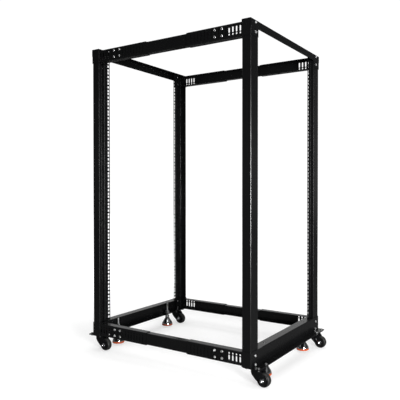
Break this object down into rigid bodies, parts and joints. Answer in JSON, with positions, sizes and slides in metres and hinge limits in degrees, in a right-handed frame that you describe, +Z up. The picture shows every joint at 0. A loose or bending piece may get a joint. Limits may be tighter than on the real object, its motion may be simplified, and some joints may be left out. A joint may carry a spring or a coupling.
{
  "type": "open frame server rack",
  "caption": "Open-frame four-post equipment rack with square-hole flanges, telescoping side rails, swivel casters and screw-down levelling feet.",
  "frame": {"origin": "on the floor, mid-way between the left and right posts and between the front and rear post faces", "axes": "+Z up, front of the rack towards -Y, +X to the right seen from the front"},
  "size_m": [0.614, 0.8502, 1.2762],
  "materials": {
    "powder_coat": "satin black powder coat",
    "caster_steel": "black coated steel",
    "wheel_plastic": "moulded black nylon",
    "zinc_screws": "bright zinc plated steel",
    "chrome_fittings": "polished plating",
    "orange_pad": "moulded orange plastic"
  },
  "bodies": {
    "front_frame": {"post_front_left": "powder_coat", "post_front_right": "powder_coat", "top_beam_front": "powder_coat", "base_beam_front": "powder_coat", "base_plate_front": "powder_coat", "rail_front_left_top": "powder_coat", "rail_front_left_bottom": "powder_coat", "rail_front_right_top": "powder_coat", "rail_front_right_bottom": "powder_coat", "corner_screws_front": "zinc_screws", "rail_screws_front": "zinc_screws", "caster_bolts_front": "zinc_screws", "foot_nuts_front": "zinc_screws", "caster_plate_front_left": "caster_steel", "caster_plate_front_right": "caster_steel"},
    "rear_frame": {"post_rear_left": "powder_coat", "post_rear_right": "powder_coat", "top_beam_rear": "powder_coat", "base_beam_rear": "powder_coat", "base_plate_rear": "powder_coat", "rail_rear_left_top": "powder_coat", "rail_rear_left_bottom": "powder_coat", "rail_rear_right_top": "powder_coat", "rail_rear_right_bottom": "powder_coat", "corner_screws_rear": "zinc_screws", "rail_screws_rear": "zinc_screws", "caster_bolts_rear": "zinc_screws", "foot_nuts_rear": "zinc_screws", "caster_plate_rear_left": "caster_steel", "caster_plate_rear_right": "caster_steel"},
    "middle_rails": {"rail_middle_left_top": "powder_coat", "rail_middle_left_bottom": "powder_coat", "rail_middle_right_top": "powder_coat", "rail_middle_right_bottom": "powder_coat"},
    "caster_front_left": {"caster_fork_front_left": "caster_steel", "caster_axle_front_left": "chrome_fittings"},
    "wheel_front_left": {"caster_wheel_front_left": "wheel_plastic"},
    "foot_pad_front_left": {"foot_pad_front_left": "orange_pad"},
    "foot_front_left": {"foot_stud_front_left": "zinc_screws", "foot_bell_front_left": "chrome_fittings"},
    "caster_front_right": {"caster_fork_front_right": "caster_steel", "caster_axle_front_right": "chrome_fittings"},
    "wheel_front_right": {"caster_wheel_front_right": "wheel_plastic"},
    "foot_pad_front_right": {"foot_pad_front_right": "orange_pad"},
    "foot_front_right": {"foot_stud_front_right": "zinc_screws", "foot_bell_front_right": "chrome_fittings"},
    "caster_rear_left": {"caster_fork_rear_left": "caster_steel", "caster_axle_rear_left": "chrome_fittings"},
    "wheel_rear_left": {"caster_wheel_rear_left": "wheel_plastic"},
    "foot_pad_rear_left": {"foot_pad_rear_left": "orange_pad"},
    "foot_rear_left": {"foot_stud_rear_left": "zinc_screws", "foot_bell_rear_left": "chrome_fittings"},
    "caster_rear_right": {"caster_fork_rear_right": "caster_steel", "caster_axle_rear_right": "chrome_fittings"},
    "wheel_rear_right": {"caster_wheel_rear_right": "wheel_plastic"},
    "foot_pad_rear_right": {"foot_pad_rear_right": "orange_pad"},
    "foot_rear_right": {"foot_stud_rear_right": "zinc_screws", "foot_bell_rear_right": "chrome_fittings"}
  },
  "joints": [
    {"name": "depth_adjust", "type": "slide", "parent": "front_frame", "child": "rear_frame", "axis": [0, 1, 0], "range_m": [-0.172, 0.268]},
    {"name": "middle_rails_follow", "type": "slide", "parent": "front_frame", "child": "middle_rails", "axis": [0, 1, 0], "range_m": [-0.086, 0.134]},
    {"name": "swivel_front_left", "type": "hinge", "parent": "front_frame", "child": "caster_front_left", "pos_m": [-0.263, -0.3812, 0.055], "axis": [0, 0, 1], "continuous": true},
    {"name": "wheel_roll_front_left", "type": "hinge", "parent": "caster_front_left", "child": "wheel_front_left", "pos_m": [-0.263, -0.4112, 0.025], "axis": [1, 0, 0], "continuous": true},
    {"name": "foot_height_front_left", "type": "slide", "parent": "front_frame", "child": "foot_pad_front_left", "axis": [0, 0, 1], "range_m": [-0.018, 0.0085]},
    {"name": "foot_turn_front_left", "type": "hinge", "parent": "foot_pad_front_left", "child": "foot_front_left", "pos_m": [-0.173, -0.3665, 0.02], "axis": [0, 0, 1], "range_deg": [-4328, 2047]},
    {"name": "swivel_front_right", "type": "hinge", "parent": "front_frame", "child": "caster_front_right", "pos_m": [0.263, -0.3812, 0.055], "axis": [0, 0, 1], "continuous": true},
    {"name": "wheel_roll_front_right", "type": "hinge", "parent": "caster_front_right", "child": "wheel_front_right", "pos_m": [0.263, -0.4112, 0.025], "axis": [1, 0, 0], "continuous": true},
    {"name": "foot_height_front_right", "type": "slide", "parent": "front_frame", "child": "foot_pad_front_right", "axis": [0, 0, 1], "range_m": [-0.018, 0.0085]},
    {"name": "foot_turn_front_right", "type": "hinge", "parent": "foot_pad_front_right", "child": "foot_front_right", "pos_m": [0.173, -0.3665, 0.02], "axis": [0, 0, 1], "range_deg": [-4328, 2047]},
    {"name": "swivel_rear_left", "type": "hinge", "parent": "rear_frame", "child": "caster_rear_left", "pos_m": [-0.263, 0.3812, 0.055], "axis": [0, 0, 1], "continuous": true},
    {"name": "wheel_roll_rear_left", "type": "hinge", "parent": "caster_rear_left", "child": "wheel_rear_left", "pos_m": [-0.263, 0.3512, 0.025], "axis": [1, 0, 0], "continuous": true},
    {"name": "foot_height_rear_left", "type": "slide", "parent": "rear_frame", "child": "foot_pad_rear_left", "axis": [0, 0, 1], "range_m": [-0.018, 0.0085]},
    {"name": "foot_turn_rear_left", "type": "hinge", "parent": "foot_pad_rear_left", "child": "foot_rear_left", "pos_m": [-0.173, 0.3665, 0.02], "axis": [0, 0, 1], "range_deg": [-4328, 2047]},
    {"name": "swivel_rear_right", "type": "hinge", "parent": "rear_frame", "child": "caster_rear_right", "pos_m": [0.263, 0.3812, 0.055], "axis": [0, 0, 1], "continuous": true},
    {"name": "wheel_roll_rear_right", "type": "hinge", "parent": "caster_rear_right", "child": "wheel_rear_right", "pos_m": [0.263, 0.3512, 0.025], "axis": [1, 0, 0], "continuous": true},
    {"name": "foot_height_rear_right", "type": "slide", "parent": "rear_frame", "child": "foot_pad_rear_right", "axis": [0, 0, 1], "range_m": [-0.018, 0.0085]},
    {"name": "foot_turn_rear_right", "type": "hinge", "parent": "foot_pad_rear_right", "child": "foot_rear_right", "pos_m": [0.173, 0.3665, 0.02], "axis": [0, 0, 1], "range_deg": [-4328, 2047]}
  ],
  "couplings": [
    {"joint": "middle_rails_follow", "follows": "depth_adjust", "ratio": 0.5},
    {"joint": "foot_turn_front_left", "follows": "foot_height_front_left", "rad_per_m": 4188.8},
    {"joint": "foot_turn_front_right", "follows": "foot_height_front_right", "rad_per_m": 4188.8},
    {"joint": "foot_turn_rear_left", "follows": "foot_height_rear_left", "rad_per_m": 4188.8},
    {"joint": "foot_turn_rear_right", "follows": "foot_height_rear_right", "rad_per_m": 4188.8}
  ]
}
